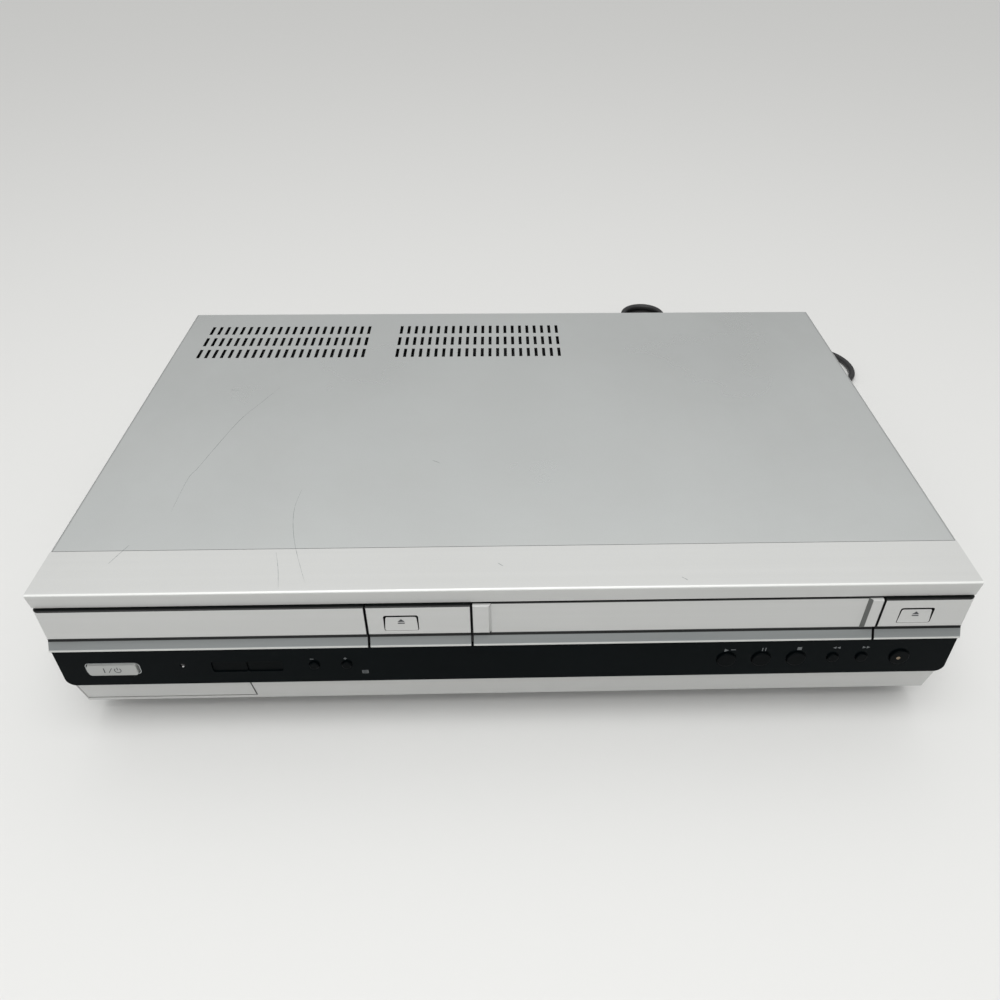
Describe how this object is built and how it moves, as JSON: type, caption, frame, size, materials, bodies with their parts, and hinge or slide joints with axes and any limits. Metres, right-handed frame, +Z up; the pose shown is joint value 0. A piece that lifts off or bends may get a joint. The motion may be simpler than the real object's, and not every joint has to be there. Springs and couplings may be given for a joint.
{
  "type": "disc and cassette combination player",
  "caption": "Silver tabletop player that combines a sliding disc tray with a video cassette deck, black control window, line-input flap and a hanked mains cord.",
  "frame": {"origin": "bottom centre of the player, without its mains cord, on the surface that it stands on", "axes": "+X to the viewer's right along the width, +Y from the front to the rear, +Z up"},
  "size_m": [0.5179, 0.4602, 0.098],
  "materials": {
    "cover_paint": "satin silver paint, finely scratched",
    "silver_plastic": "silver sprayed plastic",
    "grey_trim": "darker grey satin strip",
    "black_window": "polished black acrylic",
    "dark_key": "dark satin key caps",
    "dark_plastic": "moulded black plastic",
    "grey_plastic": "moulded grey plastic",
    "zinc_steel": "zinc plated sheet",
    "polished_steel": "ground and polished",
    "drum_alloy": "turned alloy",
    "board": "solder-masked board with parts",
    "socket_metal": "nickel plated shells in black carriers",
    "foot_plastic": "black moulded feet",
    "cord_rubber": "black flexible cord sheath",
    "gear_plastic": "ivory acetal"
  },
  "bodies": {
    "player": {"top_cover": "cover_paint", "case_screws": "polished_steel", "chassis": "zinc_steel", "feet": "foot_plastic", "front_bezel": "silver_plastic", "line_sockets": "dark_plastic", "centre_block": "silver_plastic", "centre_trim": "grey_trim", "right_block": "silver_plastic", "right_trim": "grey_trim", "front_window": "black_window", "display_board": "board", "main_board": "board", "power_board": "board", "rear_panel": "zinc_steel", "rear_sockets": "socket_metal", "loader_chassis": "grey_plastic", "clamp_bridge": "zinc_steel", "deck_plate": "zinc_steel", "carriage_bracket": "zinc_steel", "lower_drum": "drum_alloy", "cord_free": "cord_rubber", "cord_hank": "cord_rubber", "cord_tie": "cord_rubber", "cord_gland": "cord_rubber", "mains_plug": "cord_rubber"},
    "tray": {"tray_front": "silver_plastic", "tray_trim": "grey_trim", "disc_tray": "dark_plastic"},
    "gear": {"tray_gear": "gear_plastic"},
    "traverse": {"traverse": "grey_plastic", "pickup_rails": "polished_steel"},
    "turntable": {"turntable": "dark_plastic"},
    "sled": {"pickup_sled": "dark_plastic"},
    "clamp": {"disc_clamp": "dark_plastic"},
    "flap": {"cassette_flap": "silver_plastic", "flap_trim": "grey_trim"},
    "slider": {"carriage_slider": "grey_plastic"},
    "holder": {"cassette_holder": "zinc_steel"},
    "upper_drum": {"upper_drum": "drum_alloy"},
    "supply_reel": {"supply_reel": "dark_plastic"},
    "takeup_reel": {"takeup_reel": "dark_plastic"},
    "capstan": {"capstan": "polished_steel"},
    "pinch_arm": {"pinch_arm": "dark_plastic"},
    "supply_ring": {"supply_loading_ring": "gear_plastic"},
    "takeup_ring": {"takeup_loading_ring": "gear_plastic"},
    "input_flap": {"input_flap": "silver_plastic"},
    "channel_down_button": {"channel_down_button": "dark_key"},
    "channel_up_button": {"channel_up_button": "dark_key"},
    "play_button": {"play_button": "dark_key"},
    "pause_button": {"pause_button": "dark_key"},
    "stop_button": {"stop_button": "dark_key"},
    "rewind_button": {"rewind_button": "dark_key"},
    "fast_forward_button": {"fast_forward_button": "dark_key"},
    "record_button": {"record_button": "dark_key"},
    "power_button": {"power_button": "silver_plastic"},
    "left_select_button": {"left_select_button": "dark_key"},
    "right_select_button": {"right_select_button": "dark_key"},
    "disc_eject_button": {"disc_eject_button": "silver_plastic"},
    "cassette_eject_button": {"cassette_eject_button": "silver_plastic"}
  },
  "joints": [
    {"name": "tray_slide", "type": "slide", "parent": "player", "child": "tray", "axis": [0, -1, 0], "range_m": [0, 0.128]},
    {"name": "gear_turn", "type": "hinge", "parent": "player", "child": "gear", "pos_m": [-0.0953, -0.11465, 0.0695], "axis": [0, 0, 1], "range_deg": [-740, 0]},
    {"name": "traverse_tilt", "type": "hinge", "parent": "player", "child": "traverse", "pos_m": [-0.1403, 0.02535, 0.063], "axis": [-1, 0, 0], "range_deg": [0, 3.4]},
    {"name": "turntable_spin", "type": "hinge", "parent": "traverse", "child": "turntable", "pos_m": [-0.1403, -0.06465, 0.07], "axis": [0, 0, 1], "continuous": true},
    {"name": "sled_slide", "type": "slide", "parent": "traverse", "child": "sled", "axis": [0, 1, 0], "range_m": [0, 0.032]},
    {"name": "clamp_spin", "type": "hinge", "parent": "player", "child": "clamp", "pos_m": [-0.1403, -0.06465, 0.085], "axis": [0, 0, 1], "continuous": true},
    {"name": "flap_hinge", "type": "hinge", "parent": "player", "child": "flap", "pos_m": [0.07695, -0.13445, 0.0924], "axis": [1, 0, 0], "range_deg": [0, 95], "stiffness_Nm_per_rad": 0.02},
    {"name": "carriage_in", "type": "slide", "parent": "player", "child": "slider", "axis": [0, 1, 0], "range_m": [0, 0.05]},
    {"name": "carriage_down", "type": "slide", "parent": "slider", "child": "holder", "axis": [0, 0, -1], "range_m": [0, 0.014]},
    {"name": "drum_spin", "type": "hinge", "parent": "player", "child": "upper_drum", "pos_m": [0.07695, 0.05035, 0.0436], "axis": [0, 0.0872, 0.9962], "continuous": true},
    {"name": "supply_spin", "type": "hinge", "parent": "player", "child": "supply_reel", "pos_m": [0.03095, -0.05165, 0.045], "axis": [0, 0, 1], "continuous": true},
    {"name": "takeup_spin", "type": "hinge", "parent": "player", "child": "takeup_reel", "pos_m": [0.12295, -0.05165, 0.045], "axis": [0, 0, 1], "continuous": true},
    {"name": "capstan_spin", "type": "hinge", "parent": "player", "child": "capstan", "pos_m": [0.12895, 0.01235, 0.045], "axis": [0, 0, 1], "continuous": true},
    {"name": "pinch_swing", "type": "hinge", "parent": "player", "child": "pinch_arm", "pos_m": [0.15085, 0.02335, 0.05], "axis": [0, 0, 1], "range_deg": [0, 35]},
    {"name": "supply_loading", "type": "hinge", "parent": "player", "child": "supply_ring", "pos_m": [0.07695, 0.05035, 0.0356], "axis": [0, 0, -1], "range_deg": [0, 70]},
    {"name": "takeup_loading", "type": "hinge", "parent": "player", "child": "takeup_ring", "pos_m": [0.07695, 0.05035, 0.0326], "axis": [0, 0, 1], "range_deg": [0, 70]},
    {"name": "input_flap_hinge", "type": "hinge", "parent": "player", "child": "input_flap", "pos_m": [-0.1713, -0.13019, 0.0183], "axis": [1, 0, 0], "range_deg": [0, 90]},
    {"name": "channel_down_press", "type": "slide", "parent": "player", "child": "channel_down_button", "axis": [0, 1, 0], "range_m": [0, 0.0008], "stiffness_N_per_m": 800, "springref_m": -0.0008},
    {"name": "channel_up_press", "type": "slide", "parent": "player", "child": "channel_up_button", "axis": [0, 1, 0], "range_m": [0, 0.0008], "stiffness_N_per_m": 800, "springref_m": -0.0008},
    {"name": "play_press", "type": "slide", "parent": "player", "child": "play_button", "axis": [0, 1, 0], "range_m": [0, 0.0008], "stiffness_N_per_m": 800, "springref_m": -0.0008},
    {"name": "pause_press", "type": "slide", "parent": "player", "child": "pause_button", "axis": [0, 1, 0], "range_m": [0, 0.0008], "stiffness_N_per_m": 800, "springref_m": -0.0008},
    {"name": "stop_press", "type": "slide", "parent": "player", "child": "stop_button", "axis": [0, 1, 0], "range_m": [0, 0.0008], "stiffness_N_per_m": 800, "springref_m": -0.0008},
    {"name": "rewind_press", "type": "slide", "parent": "player", "child": "rewind_button", "axis": [0, 1, 0], "range_m": [0, 0.0008], "stiffness_N_per_m": 800, "springref_m": -0.0008},
    {"name": "fast_forward_press", "type": "slide", "parent": "player", "child": "fast_forward_button", "axis": [0, 1, 0], "range_m": [0, 0.0008], "stiffness_N_per_m": 800, "springref_m": -0.0008},
    {"name": "record_press", "type": "slide", "parent": "player", "child": "record_button", "axis": [0, 1, 0], "range_m": [0, 0.0008], "stiffness_N_per_m": 800, "springref_m": -0.0008},
    {"name": "power_press", "type": "slide", "parent": "player", "child": "power_button", "axis": [0, 1, 0], "range_m": [0, 0.0008], "stiffness_N_per_m": 800, "springref_m": -0.0008},
    {"name": "left_select_press", "type": "slide", "parent": "player", "child": "left_select_button", "axis": [0, 1, 0], "range_m": [0, 0.0008], "stiffness_N_per_m": 800, "springref_m": -0.0008},
    {"name": "right_select_press", "type": "slide", "parent": "player", "child": "right_select_button", "axis": [0, 1, 0], "range_m": [0, 0.0008], "stiffness_N_per_m": 800, "springref_m": -0.0008},
    {"name": "disc_eject_press", "type": "slide", "parent": "player", "child": "disc_eject_button", "axis": [0, 1, 0], "range_m": [0, 0.0008], "stiffness_N_per_m": 800, "springref_m": -0.0008},
    {"name": "cassette_eject_press", "type": "slide", "parent": "player", "child": "cassette_eject_button", "axis": [0, 1, 0], "range_m": [0, 0.0008], "stiffness_N_per_m": 800, "springref_m": -0.0008}
  ],
  "couplings": [
    {"joint": "gear_turn", "follows": "tray_slide", "rad_per_m": -100},
    {"joint": "takeup_loading", "follows": "supply_loading", "ratio": 1}
  ]
}
